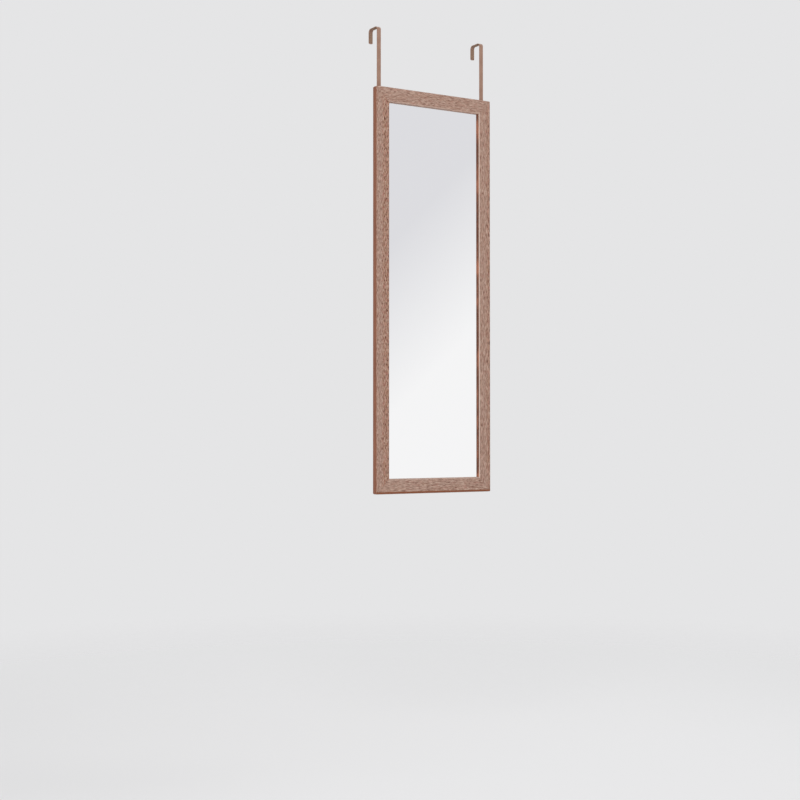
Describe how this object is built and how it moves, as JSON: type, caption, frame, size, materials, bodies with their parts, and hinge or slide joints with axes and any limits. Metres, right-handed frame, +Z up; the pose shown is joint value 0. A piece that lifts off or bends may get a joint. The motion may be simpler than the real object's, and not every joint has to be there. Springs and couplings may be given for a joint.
{
  "type": "over the door mirror",
  "caption": "Tall framed mirror in a wood-effect moulding, hung over the top of a door by flat steel strap hooks that slide to set its height.",
  "frame": {"origin": "middle of the door's top edge, on the side where the mirror hangs: the plane of the hooks' bearing pads and of the door's face, halfway between the hooks", "axes": "+Z up, along the mirror's height; +X across the mirror, to the right as seen from in front; +Y from the mirror's face into the door"},
  "size_m": [0.37, 0.063, 1.255],
  "materials": {
    "wood_effect_foil": "matt printed wood grain with fine pressed pores",
    "frame_core": "bare fibreboard",
    "silvered_glass": "clear float glass, silvered behind",
    "backing_card": "plain card",
    "hardboard": "smooth pressed hardboard",
    "bare_steel": "bright steel",
    "zinc_plated_steel": "bright zinc plating",
    "coated_steel": "satin powder coat",
    "foam": "closed-cell foam",
    "bumper_rubber": "matt moulded rubber"
  },
  "bodies": {
    "framed_mirror": {"stile_left": "frame_core", "stile_right": "frame_core", "rail_top": "frame_core", "rail_bottom": "frame_core", "stile_left_foil": "wood_effect_foil", "stile_right_foil": "wood_effect_foil", "rail_top_foil": "wood_effect_foil", "rail_bottom_foil": "wood_effect_foil", "corner_v_nails": "bare_steel", "mirror_glass": "silvered_glass", "backing_pad": "backing_card", "backing_board": "hardboard", "backing_points": "bare_steel", "hook_left_washers": "zinc_plated_steel", "hook_right_washers": "zinc_plated_steel", "hook_left_screws": "zinc_plated_steel", "hook_right_screws": "zinc_plated_steel", "door_bumpers": "bumper_rubber"},
    "left_hook": {"hook_left": "coated_steel", "hook_left_bridge_pad": "foam", "hook_left_lip_pad": "foam"},
    "right_hook": {"hook_right": "coated_steel", "hook_right_bridge_pad": "foam", "hook_right_lip_pad": "foam"}
  },
  "joints": [
    {"name": "left_hook_height", "type": "slide", "parent": "framed_mirror", "child": "left_hook", "axis": [0, 0, 1], "range_m": [-0.04, 0.02]},
    {"name": "right_hook_height", "type": "slide", "parent": "framed_mirror", "child": "right_hook", "axis": [0, 0, 1], "range_m": [-0.04, 0.02]}
  ]
}
